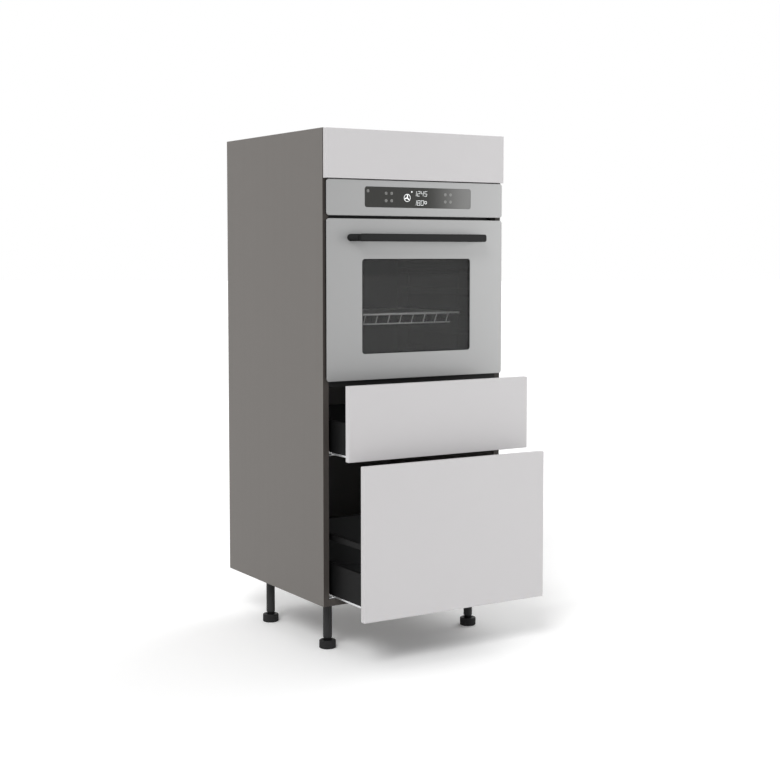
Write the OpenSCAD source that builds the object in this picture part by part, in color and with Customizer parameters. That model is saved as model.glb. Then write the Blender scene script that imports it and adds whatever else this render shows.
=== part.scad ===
// Tall oven housing unit: a carcass on legs, a built-in oven, two drawers below it and a filler panel above.
// Origin on the floor under the centre of the carcass; +X right, +Y towards the wall, +Z up.

/* [Carcass] */
// Width over the side panels
unit_w = 600; // [560:5:800]
// Depth of the side panels
carcass_d = 600; // [580:5:650]
// Height of the side panels
carcass_h = 1326; // [1300:1:1450]
// Thickness of the carcass boards
panel_t = 18; // [16:0.5:22]
// Thickness of the back panels
back_t = 3; // [2.5:0.5:6]
// Distance of the back panels from the rear edge
back_inset = 8; // [5:1:15]
// Depth of the grooves that hold the back panels
groove_d = 6; // [4:0.5:8]
// Depth of the ventilation shaft behind the oven
vent_gap = 50; // [40:1:70]
// Depth of the front rail above the oven
rail_d = 100; // [60:5:150]
// Diameter of the dowels that join the boards
dowel_d = 8; // [6:1:10]
// Length of the dowels
dowel_l = 30; // [25:1:40]

/* [Fronts] */
// Thickness of the drawer fronts and the filler panel
front_t = 18; // [15:0.5:22]
// Gap between a closed front and the carcass
buffer_gap = 1; // [0.5:0.25:3]
// Distance of the fronts from the outer face of the side panels
side_reveal = 1.5; // [1:0.25:3]
// Gap between one front and the next
front_gap = 2; // [2:0.5:4]
// Height of the deep drawer front
deep_front_h = 418.5; // [380:0.5:440]
// Height of the top drawer front
top_front_h = 206; // [180:0.5:220]

/* [Legs] */
// Height of the carcass above the floor
leg_h = 140; // [120:1:180]
// Diameter of a leg tube
leg_d = 26; // [22:1:34]
// Diameter of a foot
foot_d = 46; // [42:1:60]
// Height of a foot
foot_h = 27; // [24:1:32]
// Depth of the recess in a foot that takes the tube
foot_recess = 12; // [8:1:16]
// Diameter of the adjusting spindle
spindle_d = 12; // [8:1:14]
// Length of the spindle above the recess
spindle_l = 55; // [45:1:60]
// Distance of the leg axes from the outer side faces
leg_side = 56; // [45:1:90]
// Distance of the front leg axes from the carcass front
leg_front = 78; // [50:1:120]
// Distance of the rear leg axes from the carcass rear
leg_back = 168; // [60:1:200]

/* [Drawers] */
// Nominal length of the runners
runner_l = 450; // [400:10:500]
// Opening of the deep drawer as drawn
deep_open = 200; // [0:5:380]
// Opening of the top drawer as drawn
top_open = 120; // [0:5:380]
// Space between a side panel and a drawer side
side_space = 13; // [13:0.5:16]
// Thickness of a hollow drawer side
side_t = 13; // [12:0.5:16]
// Height of a drawer side
side_h = 82; // [70:1:95]
// Sheet thickness of the drawer sides
side_sheet = 1.2; // [1:0.1:1.5]
// Thickness of the drawer base and back boards
board_t = 16; // [12:1:16]
// Height of the top drawer's back above its sides
top_back_rise = 7; // [0:1:20]
// Height of the gallery rail's top above the deep drawer's sides
gallery_rise = 81; // [50:1:120]
// Height of a gallery rail
gallery_h = 16; // [10:1:20]
// Width of a gallery rail
gallery_w = 10; // [8:0.5:11]

/* [Runners] */
// Sheet thickness of the runner members
rail_t = 1.5; // [1.2:0.1:1.8]
// Width of the track of the cabinet member
track_w = 20; // [18:0.5:22]
// Height of the web that is screwed to the side panel
web_h = 36; // [32:1:44]
// Height of the middle member
middle_h = 11.2; // [10:0.2:12]
// Running clearance between the members
run_gap = 0.3; // [0.2:0.05:0.4]
// Drop of a drawer side's outer skin beside its runner
skirt_h = 6.8; // [0:0.2:7]
// Diameter of a runner screw
screw_d = 4; // [3:0.5:5]

/* [Oven] */
// Height from the lower edge of the door to the top of the control panel
oven_h = 557; // [550:1:575]
// Distance of the oven front's edges from the outer side faces
oven_reveal = 4; // [2:0.5:10]
// Distance of the oven front from the carcass front
oven_proud = 15; // [14:0.5:20]
// Height of the control panel
control_h = 99.5; // [90:0.5:110]
// Gap between the door and the control panel
door_gap = 8; // [4:0.5:10]
// Corner radius of the door and the control panel
face_r = 9; // [6:0.5:14]
// Thickness of the front sheet
skin_t = 1.5; // [1:0.1:2]
// Width of the window
window_w = 364; // [300:2:380]
// Height of the window
window_h = 264; // [220:2:270]
// Height of the window above the lower edge of the door
window_up = 73.5; // [70:0.5:90]
// Corner radius of the window
window_r = 8; // [4:0.5:12]
// Width of the display
display_w = 358; // [200:2:360]
// Height of the display
display_h = 57; // [40:1:60]
// Distance of the display's centre to the right of the oven's centre
display_x = 5; // [0:1:10]
// Corner radius of the display
display_r = 7; // [3:0.5:10]
// Gap between the oven body and a side panel
niche_gap = 4; // [3:0.5:10]
// Distance of the oven body from the rear edge of its shelf
body_back = 6.5; // [4:0.5:10]
// Wall thickness of the oven casing and cavity
wall_t = 1.5; // [1:0.1:2]

/* [Oven door] */
// Height of the hinge axis above the lower edge of the door
hinge_up = 7; // [6.5:0.25:7.5]
// Distance of the hinge axis behind the door's face
hinge_in = 6.5; // [6.25:0.25:7]
// Diameter of a hinge pin
pin_d = 4; // [3:0.2:4.4]
// Thickness of a hinge plate
hinge_t = 4; // [3:0.5:5]
// Distance of the hinges from the sides of the oven body
hinge_side = 32; // [28:1:36]
// Length of a hinge's bar inside the oven body
hinge_bar_l = 60; // [45:1:80]
// Length of a hinge's arm above its axis
hinge_arm_l = 66; // [50:1:80]
// Thickness of the door glasses
glass_t = 4; // [3:0.5:5]
// Depth of the door's outer frame behind the face
frame_in = 13.5; // [12.5:0.5:13.5]
// Distance of the inner glass's rear face behind the carcass front
inner_y = 19; // [17:0.5:20]
// Length of the handle bar
handle_l = 424; // [300:2:460]
// Height of the handle bar
handle_h = 21.5; // [16:0.5:26]
// Depth of the handle bar
handle_t = 12; // [10:0.5:16]
// Corner radius of the handle bar's section
handle_r = 4.5; // [3:0.25:5]
// Distance of the handle's front from the door's face
handle_reach = 43; // [36:1:60]
// Height of the handle's centre above the lower edge of the door
handle_up = 397; // [360:1:420]
// Length by which each handle post runs outwards to its foot
post_flare = 17; // [0:1:24]

/* [Cavity] */
// Distance of the cavity from the sides of the oven body
cavity_side = 43; // [39:1:56]
// Height of the cavity
cavity_h = 360; // [320:2:370]
// Space behind the cavity for the fan motor
rear_space = 77; // [72:1:90]
// Height of the cavity floor above the lower edge of the door
cavity_up = 38; // [34:1:48]
// Corner radius of the cavity
cavity_r = 20; // [10:1:30]
// Thickness of the insulation round the cavity
wool_t = 25; // [15:1:30]
// Diameter of the rack's frame wire
frame_wire = 6; // [4:0.5:7]
// Diameter of the rack's thin wires
thin_wire = 3; // [2.5:0.25:4]
// Diameter of the ladder wires
ladder_wire = 5; // [4:0.5:6]
// Height of the rack's top rail above the cavity floor
rack_up = 139; // [138.5:0.5:139.5]
// Distance of the rack behind the front frame
rack_in = 78; // [70:1:90]
// Distance of the rack in front of the fan cover
rack_back = 13; // [10:1:40]
// Distance of the grill's front bends behind the cavity's mouth
grill_in = 90; // [60:5:110]
// Distance of the grill's rear bends from the cavity's rear wall
grill_back = 110; // [90:5:140]
// Spacing of the grill's bars
grill_pitch = 70; // [60:1:74]
// Drop of the rack's front lip
lip_drop = 28; // [20:1:34]
// Setback of the lip's lower rail
lip_back = 13; // [0:1:20]
// Spacing of the rack's thin wires
rung_pitch = 41; // [30:1:50]

/* [Fan] */
// Diameter of the fan wheel
fan_d = 150; // [120:2:170]
// Width of the fan blades along the shaft
fan_w = 16; // [10:1:18]
// Number of fan blades
blade_count = 12; // [8:1:16]
// Diameter of the fan shaft
shaft_d = 8; // [6:1:10]

/* [Hidden] */
$fn = 48;
fit = 0.3;          // clearance between separate pieces
dowel_fit = 0.05;   // radial clearance of a dowel or screw in its hole
dowel_in = 12;      // depth of a dowel in a side panel
dowel_at = [0.2, 0.8]; // places of the dowels along a board's depth
pin_fit = 0.1;      // radial clearance of a hinge pin
base_reveal = 1;    // carcass bottom to the deep front
top_reveal = 1;     // filler to the carcass top
oven_top_gap = 3;   // control panel to the filler
oven_low_gap = 2.5; // top drawer front to the door, whose lower edge swings down
shelf_rise = 2;     // shelf top above the door's lower edge

front_y = -carcass_d / 2;
rear_y = carcass_d / 2;
inner_x = unit_w / 2 - panel_t;
front_x = unit_w / 2 - side_reveal;
base_z = leg_h;
roof_z = base_z + carcass_h;
deep_z = [base_z + base_reveal, base_z + base_reveal + deep_front_h];
top_z = [deep_z[1] + front_gap, deep_z[1] + front_gap + top_front_h];
oven_z = [top_z[1] + oven_low_gap, top_z[1] + oven_low_gap + oven_h];
filler_z = [oven_z[1] + oven_top_gap, roof_z - top_reveal];
shelf_z = oven_z[0] + shelf_rise;
rail_z = filler_z[0];
closed_y = front_y - buffer_gap;
back_y = rear_y - back_inset - back_t;
shelf_d = carcass_d - vent_gap;

leg_x = unit_w / 2 - leg_side;
leg_y = [front_y + leg_front, rear_y - leg_back];
socket_t = 4;
socket_h = 15;
socket_w = 60;
leg_wall = 2.5;
plug_l = 22;
foot_edge = 3;
tube_gap = 1;       // recess wall to tube

rail_setback = 3;   // carcass front to the cabinet members
rail_rise = 3.2;    // bottom panel to the deep drawer's cabinet members
middle_setback = 5; // cabinet member's end to the middle member's, closed
track_gap = 1;      // walls of the track to what runs between them
track_x = [side_space - track_gap - rail_t, side_space - track_gap - rail_t + track_w];
member_x = [side_space + side_sheet + fit, track_x[1] - rail_t - track_gap];
middle_x = [member_x[0] + rail_t + run_gap, member_x[1] - rail_t - run_gap];
middle_z = [rail_t + run_gap, rail_t + run_gap + middle_h];
member_z = middle_z[1] + run_gap;
runner_h = member_z + rail_t;
deep_runner_z = base_z + panel_t + rail_rise;
top_runner_z = top_z[0] + 1;
lip_h = 7;
screw_y = [40, 300];
screw_up = 28;
screw_l = 14;
head_d = 8;
head_t = 1.6;

side_x = inner_x - side_space;      // outer face of a drawer side
box_x = side_x - side_t;            // inner face of a drawer side
box_l = runner_l - 2;               // depth of a drawer behind its front
flange_w = 12;
bracket_t = 2;
bracket_l = 40;
bracket_z = [8, 66];
deep_side_z = deep_runner_z + runner_h;
top_side_z = top_runner_z + runner_h;
gallery_z = [deep_side_z + side_h + gallery_rise - gallery_h, deep_side_z + side_h + gallery_rise];
gallery_x = side_x - side_t / 2;

oven_w = unit_w - 2 * oven_reveal;
body_w = 2 * (inner_x - niche_gap);
body_down = 7;      // top of the oven body below the top of its front
hinge_x = body_w / 2 - hinge_side;
cavity_w = body_w - 2 * cavity_side;
face_y = front_y - oven_proud;
control_z = [oven_z[1] - control_h, oven_z[1]];
door_z = [oven_z[0], control_z[0] - door_gap];
window_z = [door_z[0] + window_up, door_z[0] + window_up + window_h];
frame_y = [face_y + skin_t, face_y + frame_in];
frame_rim = 4;      // black frame set back from the sheet's edge
seal_t = 2.7;
glass_y = front_y + inner_y;
mouth_y = glass_y + fit + seal_t;
body_z = [shelf_z, oven_z[1] - body_down];
body_y = front_y + shelf_d - body_back;
mouth_z = [door_z[0] + cavity_up, door_z[0] + cavity_up + cavity_h];
cavity_y = [mouth_y + 2 * wall_t, body_y - wall_t - rear_space];
cavity_mid = (mouth_z[0] + mouth_z[1]) / 2;
hinge_y = face_y + hinge_in;
hinge_z = door_z[0] + hinge_up;
notch_z = hinge_z + hinge_arm_l;
eye_r = hinge_in - skin_t - fit;
inner_frame_x = body_w / 2 - 8;
inner_opening = [cavity_w - 40, cavity_h - 40];
inner_frame_z = [door_z[0] + 15, door_z[1] - 14];
seal_w = 8;
vents_at = [150, 60];     // vents in the rear panel: from its middle and from its top
terminal_at = [90, 210];  // mains terminal from the body's right side and top
glass_lap = 14;           // window opening to the edge of its glass
handle_z = door_z[0] + handle_up;
handle_y = face_y - handle_reach;

rack_z = mouth_z[0] + rack_up;
cover_d = 30;
cover_y = cavity_y[1] - cover_d;
rack_y = [mouth_y + rack_in, cover_y - rack_back];
rack_x = cavity_w / 2 - 13;
rung_count = floor(2 * rack_x / rung_pitch);
weld = 0.5;         // depth to which crossing wires are welded together
ladder_x = cavity_w / 2 - 11;
post_x = ladder_x + ladder_wire - weld;
ladder_step = 60;
ladder_levels = 5;
ladder_pair = frame_wire + ladder_wire + 5;
ladder_z = rack_z - (frame_wire + ladder_wire) / 2 - fit - 2 * ladder_step;
ladder_over = [45, 5]; // ladder wires in front of the rack and behind it
cover_w = 2 * fan_d;
cover_h = fan_d + 100;
display_up = 24;    // lower edge of the control panel to the display
fan_y = cavity_y[1] - 6 - fan_w;
motor_d = 78;
motor_l = 34;
motor_y = cavity_y[1] + wall_t + wool_t + fit;
lamp_at = [42, 70];   // lamp's centre from the cavity's left wall and roof
grill_z = mouth_z[1] - 30;
grill_d = 6.5;

// A block between two values on each axis.
module slab(x, y, z) {
    translate([x[0], y[0], z[0]])
        cube([x[1] - x[0], y[1] - y[0], z[1] - z[0]]);
}

// A block centred on X = 0.
module centred_slab(w, y, z) {
    slab([-w / 2, w / 2], y, z);
}

// The same shape on the left and the right.
module both_sides() {
    children();
    mirror([1, 0, 0]) children();
}

// A flat rounded rectangle centred on the origin.
module rounded_rect(w, h, r) {
    square([w - 2 * r, h], center = true);
    square([w, h - 2 * r], center = true);
    for (x = [-1, 1], z = [-1, 1])
        translate([x * (w / 2 - r), z * (h / 2 - r)]) circle(r);
}

// A rounded plate that stands in XZ, from y[0] to y[1].
module standing_plate(w, z, y, r, x = 0) {
    translate([x, y[1], (z[0] + z[1]) / 2])
        rotate([90, 0, 0])
            linear_extrude(y[1] - y[0]) rounded_rect(w, z[1] - z[0], r);
}

// A rod between two points.
module rod(a, b, d) {
    v = b - a;
    l = norm(v);
    translate(a)
        rotate([0, acos(v[2] / l), atan2(v[1], v[0])])
            cylinder(h = l, d = d);
}

// Places along Y of the dowels in a board of depth d.
function dowel_places(d) = [for (k = dowel_at) front_y + k * d];

// The boards between the side panels: lower face and depth.
boards = [[base_z, carcass_d], [roof_z - panel_t, carcass_d], [shelf_z - panel_t, shelf_d], [rail_z, rail_d]];

module dowel_row(d, z, r, l) {
    for (y = dowel_places(d))
        translate([inner_x, y, z + panel_t / 2])
            rotate([0, 90, 0]) cylinder(h = l, r = r, center = true);
}

module carcass_dowels() {
    color([0.75, 0.6, 0.42])
        for (b = boards) both_sides() translate([dowel_in - dowel_l / 2, 0, 0])
            dowel_row(b[1], b[0], dowel_d / 2, dowel_l);
}

module dowel_holes() {
    for (b = boards) both_sides() translate([dowel_in - dowel_l / 2, 0, 0])
        dowel_row(b[1], b[0], dowel_d / 2 + dowel_fit, dowel_l + 2 * fit);
}

module screw_holes() {
    for (z = [deep_runner_z, top_runner_z], y = screw_y) both_sides()
        translate([inner_x - rail_t - fit, front_y + rail_setback + y, z + screw_up])
            rotate([0, 90, 0]) cylinder(h = screw_l + 2 * fit, r = screw_d / 2 + dowel_fit);
}

module runner_screws() {
    color([0.8, 0.8, 0.8])
        for (z = [deep_runner_z, top_runner_z], y = screw_y) both_sides()
            translate([inner_x - rail_t, front_y + rail_setback + y, z + screw_up])
                rotate([0, 90, 0]) {
                    cylinder(h = screw_l, d = screw_d);
                    translate([0, 0, -head_t]) cylinder(h = head_t, d = head_d);
                }
}

module side_panel() {
    difference() {
        slab([inner_x, unit_w / 2], [front_y, rear_y], [base_z, roof_z]);
        slab([inner_x - 1, inner_x + groove_d], [back_y - fit, back_y + back_t + fit], [base_z - 1, roof_z + 1]);
        dowel_holes();
        screw_holes();
    }
}

module right_side_panel() {
    color([0.5, 0.48, 0.46]) side_panel();
}

module left_side_panel() {
    color([0.5, 0.48, 0.46]) mirror([1, 0, 0]) side_panel();
}

module board(z, d) {
    difference() {
        centred_slab(2 * inner_x, [front_y, front_y + d], [z, z + panel_t]);
        dowel_holes();
    }
}

// The bottom and top boards end in front of the back panels.
module bottom_panel() {
    color([0.5, 0.48, 0.46]) board(base_z, back_y - fit - front_y);
}

module top_panel() {
    color([0.5, 0.48, 0.46]) board(roof_z - panel_t, back_y - fit - front_y);
}

module oven_shelf() {
    color([0.12, 0.12, 0.12]) board(shelf_z - panel_t, shelf_d);
}

module front_rail() {
    color([0.5, 0.48, 0.46]) board(rail_z, rail_d);
}

module back_panels() {
    w = 2 * (inner_x + groove_d - fit);
    color([0.2, 0.2, 0.2]) {
        centred_slab(w, [back_y, back_y + back_t], [base_z, shelf_z]);
        centred_slab(w, [back_y, back_y + back_t], [rail_z, roof_z]);
    }
}

module filler_panel() {
    color([0.81, 0.8, 0.8])
        centred_slab(2 * front_x, [closed_y - front_t, closed_y], filler_z);
}

module filler_brackets() {
    w = 40;
    leg = 30;
    t = 2;
    z = rail_z + panel_t;
    color([0.8, 0.8, 0.8]) both_sides() translate([unit_w / 3, 0, 0]) {
        slab([-w / 2, w / 2], [closed_y, closed_y + t], [z, z + leg]);
        slab([-w / 2, w / 2], [closed_y, closed_y + leg], [z, z + t]);
    }
}

module at_legs() {
    for (x = [-leg_x, leg_x], y = leg_y) translate([x, y, 0]) children();
}

module leg_sockets() {
    color([0.1, 0.1, 0.1]) at_legs() difference() {
        union() {
            translate([0, 0, base_z - socket_t])
                linear_extrude(socket_t) rounded_rect(socket_w, socket_w, 8);
            translate([0, 0, base_z - socket_h]) cylinder(h = socket_h, d = leg_d + 8);
        }
        translate([0, 0, base_z - socket_h - 1]) cylinder(h = socket_h - socket_t + 1, d = leg_d + 2 * pin_fit);
    }
}

module leg_tubes() {
    bottom = foot_h - foot_recess + fit;
    top = base_z - socket_t;
    color([0.15, 0.15, 0.15]) at_legs() difference() {
        translate([0, 0, bottom]) cylinder(h = top - bottom, d = leg_d);
        translate([0, 0, bottom + plug_l]) cylinder(h = top - bottom, d = leg_d - 2 * leg_wall);
        translate([0, 0, bottom - 1]) cylinder(h = plug_l + 2, d = spindle_d + 2 * fit);
    }
}

// A foot turned in one piece with its spindle; its recess takes the end of the tube.
module foot(x, y) {
    r = foot_d / 2;
    hole_r = leg_d / 2 + tube_gap;
    floor_h = foot_h - foot_recess;
    color([0.13, 0.13, 0.13]) translate([x, y, 0])
        rotate_extrude() polygon([
            [0, 0], [r - 1, 0], [r, 1], [r, foot_h - foot_edge], [r - foot_edge, foot_h],
            [hole_r, foot_h], [hole_r, floor_h], [spindle_d / 2, floor_h],
            [spindle_d / 2, floor_h + spindle_l], [0, floor_h + spindle_l]]);
}

// Sections of the runner members: x inwards from the side panel, y upwards.
module cabinet_section() {
    square([rail_t, web_h]);
    square([track_x[1], rail_t]);
    for (x = [track_x[0], track_x[1] - rail_t])
        translate([x, 0]) square([rail_t, lip_h]);
}

module middle_section() {
    w = middle_x[1] - middle_x[0];
    translate([middle_x[0], middle_z[0]]) difference() {
        square([w, middle_h]);
        translate([rail_t, rail_t]) square([w - 2 * rail_t, middle_h - 2 * rail_t]);
    }
}

module drawer_section() {
    w = member_x[1] - member_x[0];
    z = rail_t + track_gap;
    translate([member_x[0], member_z]) square([w, rail_t]);
    for (x = [member_x[0], member_x[1] - rail_t])
        translate([x, z]) square([rail_t, member_z - z + rail_t]);
}

// Runs a section along Y, from y for l, on the inner face of each side panel at height z.
module along_runner(y, l, z) {
    both_sides() translate([-inner_x, y + l, z]) rotate([90, 0, 0]) linear_extrude(l) children();
}

module cabinet_rails(z) {
    color([0.85, 0.85, 0.85]) difference() {
        along_runner(front_y + rail_setback, runner_l, z) cabinet_section();
        screw_holes();
    }
}

module middle_rails(z, open) {
    color([0.85, 0.85, 0.85])
        along_runner(front_y + rail_setback + middle_setback - open / 2, runner_l - 4 * middle_setback, z)
            middle_section();
}

module drawer_rails(z, open) {
    color([0.85, 0.85, 0.85])
        along_runner(closed_y - open + 2 * bracket_t, runner_l - 2 * middle_setback, z) drawer_section();
}

// Section of a drawer side: a hollow rail, open below, whose outer skin hangs beside the runner
// and whose inner skin has a flange under the base board.
module side_section() {
    difference() {
        square([side_t, side_h]);
        translate([side_sheet, -1]) square([side_t - 2 * side_sheet, side_h - side_sheet + 1]);
    }
    translate([0, -skirt_h]) square([side_sheet, skirt_h + side_sheet]);
    translate([side_t - side_sheet, 0]) square([flange_w, side_sheet]);
}

module drawer_sides(z, open) {
    color([0.2, 0.2, 0.2])
        along_runner(closed_y - open + bracket_t, box_l - bracket_t, z)
            translate([side_space, 0]) side_section();
}

module drawer_base(z, open) {
    color([0.25, 0.25, 0.25])
        centred_slab(2 * (box_x - fit), [closed_y - open + fit, closed_y - open + box_l],
                     [z + side_sheet, z + side_sheet + board_t]);
}

module drawer_back(z, open, top, ears) {
    rear = closed_y - open + box_l;
    color([0.22, 0.22, 0.22]) {
        centred_slab(2 * (box_x - fit), [rear - board_t, rear], [z + side_sheet + board_t, top]);
        if (ears > 0)
            centred_slab(2 * side_x, [rear - board_t, rear], [top - ears, top]);
    }
}

module drawer_brackets(z, open) {
    y = closed_y - open;
    gap = side_sheet + fit;
    color([0.3, 0.3, 0.3]) both_sides() {
        slab([box_x - flange_w, side_x], [y, y + bracket_t], [z + side_sheet + board_t + fit, z + bracket_z[1]]);
        slab([box_x + gap, side_x - gap], [y, y + bracket_l], [z + board_t + bracket_z[0], z + bracket_z[1]]);
    }
}

module drawer_front(z, open) {
    color([0.81, 0.8, 0.8])
        centred_slab(2 * front_x, [closed_y - open - front_t, closed_y - open], z);
}

// Gallery rails run from the front to the ears of the deep drawer's back, with a flange at each end.
module gallery_rails() {
    y0 = closed_y - deep_open;
    y1 = y0 + box_l - board_t;
    flange = 2;
    grow = 1.5;
    color([0.25, 0.25, 0.25]) both_sides() translate([gallery_x, 0, 0]) {
        slab([-gallery_w / 2, gallery_w / 2], [y0, y1], gallery_z);
        for (y = [y0, y1 - flange])
            slab([-gallery_w / 2 - grow, gallery_w / 2 + grow], [y, y + flange],
                 [gallery_z[0] - grow, gallery_z[1]]);
    }
}

module oven_casing() {
    y = [mouth_y + wall_t, body_y - wall_t];
    color([0.7, 0.7, 0.7]) difference() {
        centred_slab(body_w, y, body_z);
        centred_slab(body_w - 2 * wall_t, [y[0] - 1, y[1] + 1], [body_z[0] + wall_t, body_z[1] - wall_t]);
    }
}

module oven_rear_panel() {
    slot = [70, 5];
    rows = 8;
    pitch = 14;
    color([0.7, 0.7, 0.7]) difference() {
        centred_slab(body_w, [body_y - wall_t, body_y], body_z);
        for (x = [-vents_at[0], vents_at[0]], i = [0 : rows - 1])
            translate([x, body_y - wall_t / 2, body_z[1] - vents_at[1] - i * pitch])
                cube([slot[0], 2 * wall_t, slot[1]], center = true);
    }
}

module oven_front_frame() {
    y = [mouth_y, mouth_y + wall_t];
    color([0.6, 0.6, 0.6]) difference() {
        centred_slab(body_w, y, body_z);
        standing_plate(cavity_w, mouth_z, [y[0] - 1, y[1] + 1], cavity_r);
        both_sides() slab([hinge_x - hinge_t, hinge_x + hinge_t], [y[0] - 1, y[1] + 1],
                          [body_z[0] - 1, hinge_z + hinge_t + fit]);
    }
}

module cavity_liner() {
    flange = 12;
    y0 = mouth_y + wall_t;
    grown = [mouth_z[0] - wall_t, mouth_z[1] + wall_t];
    color([0.15, 0.15, 0.17]) difference() {
        union() {
            standing_plate(cavity_w + 2 * wall_t, grown, [y0, cavity_y[1] + wall_t], cavity_r + wall_t);
            standing_plate(cavity_w + 2 * flange, [mouth_z[0] - flange, mouth_z[1] + flange],
                           [y0, y0 + wall_t], cavity_r + flange);
        }
        standing_plate(cavity_w, mouth_z, [y0 - 1, cavity_y[1]], cavity_r);
        translate([0, cavity_y[1] + 2 * wall_t, cavity_mid]) rotate([90, 0, 0]) cylinder(h = 4 * wall_t, d = shaft_d + 4);
    }
}

module cavity_insulation() {
    y0 = cavity_y[0] + fit;
    skin = wall_t + fit;
    grow = skin + wool_t;
    color([0.85, 0.8, 0.6]) difference() {
        standing_plate(cavity_w + 2 * grow, [mouth_z[0] - grow, mouth_z[1] + grow],
                       [y0, cavity_y[1] + wall_t + wool_t], cavity_r + grow);
        standing_plate(cavity_w + 2 * skin, [mouth_z[0] - skin, mouth_z[1] + skin],
                       [y0 - 1, cavity_y[1] + skin], cavity_r + skin);
        translate([0, motor_y, cavity_mid]) rotate([90, 0, 0]) cylinder(h = wool_t + 2, d = shaft_d + 8);
    }
}

module door_seal() {
    color([0.1, 0.1, 0.1]) difference() {
        standing_plate(cavity_w + 2 * (seal_w + 2), [mouth_z[0] - seal_w - 2, mouth_z[1] + seal_w + 2],
                       [mouth_y - seal_t, mouth_y], cavity_r + seal_w + 2);
        standing_plate(cavity_w + 4, [mouth_z[0] - 2, mouth_z[1] + 2],
                       [mouth_y - seal_t - 1, mouth_y + 1], cavity_r + 2);
    }
}

// Fixed halves of the hinges: bars from the oven body to an eye round each pin.
module hinge_receivers() {
    rear = mouth_y + hinge_bar_l;
    sole = [14, 10, 1.2]; // width, distance behind the front frame, thickness
    color([0.6, 0.6, 0.6]) both_sides() difference() {
        union() {
            slab([hinge_x - hinge_t / 2, hinge_x + hinge_t / 2], [hinge_y, rear],
                 [hinge_z - hinge_t + 0.5, hinge_z + hinge_t]);
            translate([hinge_x, hinge_y, hinge_z])
                rotate([0, 90, 0]) cylinder(h = hinge_t, r = eye_r, center = true);
            slab([hinge_x - hinge_t / 2, hinge_x + hinge_t / 2 + sole[0]], [mouth_y + wall_t + sole[1], rear],
                 [body_z[0] + wall_t, body_z[0] + wall_t + sole[2]]);
        }
        translate([hinge_x, hinge_y, hinge_z])
            rotate([0, 90, 0]) cylinder(h = hinge_t + 2, d = pin_d + 2 * pin_fit, center = true);
    }
}

// A front sheet of the oven, with its lower and upper edges rounded towards the room.
module front_sheet(z) {
    r = skin_t;
    difference() {
        standing_plate(oven_w, z, [face_y, face_y + skin_t], face_r);
        for (k = [0, 1])
            translate([-unit_w / 2, face_y, z[k]]) mirror([0, 0, k]) rotate([90, 0, 90])
                linear_extrude(unit_w) difference() {
                    translate([-1, -1]) square(r + 1);
                    translate([r, r]) circle(r);
                }
    }
}

module control_panel() {
    color([0.7, 0.7, 0.7]) difference() {
        front_sheet(control_z);
        standing_plate(display_w + 2 * fit, display_z(fit), [face_y - 1, face_y + skin_t + 1], display_r + fit, display_x);
    }
}

function display_z(grow) = [control_z[0] + display_up - grow, control_z[0] + display_up + display_h + grow];

module display_glass() {
    color([0.15, 0.15, 0.14])
        standing_plate(display_w, display_z(0), [face_y, face_y + skin_t], display_r, display_x);
}

module control_housing() {
    z = [control_z[0] + frame_rim, control_z[1] - frame_rim];
    color([0.06, 0.06, 0.06]) {
        standing_plate(oven_w - 2 * frame_rim, z, frame_y, face_r - frame_rim);
        centred_slab(body_w - 4, [frame_y[1], mouth_y], [z[0], body_z[1]]);
    }
}

module ladder_side() {
    levels = [for (i = [0 : ladder_levels - 1], h = [0, ladder_pair]) ladder_z + i * ladder_step + h];
    top = levels[len(levels) - 1];
    stud = ladder_pair + ladder_step / 4;
    for (y = [rack_y[0] + 15, rack_y[1] - 30]) {
        rod([post_x, y, ladder_z], [post_x, y, top], ladder_wire);
        for (z = [ladder_z + stud, top - stud])
            rod([post_x, y, z], [cavity_w / 2, y, z], ladder_wire);
    }
    for (z = levels)
        rod([ladder_x, rack_y[0] - ladder_over[0], z], [ladder_x, rack_y[1] + ladder_over[1], z], ladder_wire);
}

module rack_ladders() {
    color([0.7, 0.7, 0.7]) both_sides() ladder_side();
}

module grill_bend() {
    rotate_extrude(angle = 180) translate([grill_pitch / 2, 0]) circle(d = grill_d);
}

// A heater tube bent to and fro below the cavity's roof, held at the rear wall.
module grill_element() {
    legs = 6;
    y = [cavity_y[0] + grill_in, cavity_y[1] - grill_back];
    x0 = -grill_pitch * (legs - 1) / 2;
    color([0.25, 0.25, 0.27]) {
        for (i = [0 : legs - 1]) {
            outer = i == 0 || i == legs - 1;
            x = x0 + i * grill_pitch;
            rod([x, y[0], grill_z], [x, outer ? cavity_y[1] : y[1], grill_z], grill_d);
        }
        for (i = [0 : 2 : legs - 2])
            translate([x0 + (i + 0.5) * grill_pitch, y[0], grill_z]) rotate([0, 0, 180]) grill_bend();
        for (i = [1 : 2 : legs - 3])
            translate([x0 + (i + 0.5) * grill_pitch, y[1], grill_z]) grill_bend();
    }
}

module oven_lamp() {
    color([0.9, 0.9, 0.85]) translate([-cavity_w / 2 + lamp_at[0], cavity_y[1], mouth_z[1] - lamp_at[1]])
        rotate([90, 0, 0]) rotate_extrude() polygon([
            [0, 0], [22, 0], [22, 4], [19, 6], [18, 12], [14, 18], [8, 21], [0, 22]]);
}

// A shallow pan over the fan, with rings of slots.
module fan_cover() {
    t = 1;
    corner = 16;
    slot = [10, 5];
    slots = 12;
    rings = [for (k = [0.4, 0.64, 0.88]) k * fan_d / 2];
    z = [cavity_mid - cover_h / 2, cavity_mid + cover_h / 2];
    color([0.18, 0.18, 0.2]) difference() {
        standing_plate(cover_w, z, [cover_y, cavity_y[1]], corner);
        standing_plate(cover_w - 2 * t, [z[0] + t, z[1] - t], [cover_y + t, cavity_y[1] + 1], corner - t);
        for (r = rings, i = [0 : slots - 1])
            translate([0, cover_y, cavity_mid]) rotate([0, i * 360 / slots, 0]) translate([r, 0, 0])
                cube([slot[0], 4 * t, slot[1]], center = true);
    }
}

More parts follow.
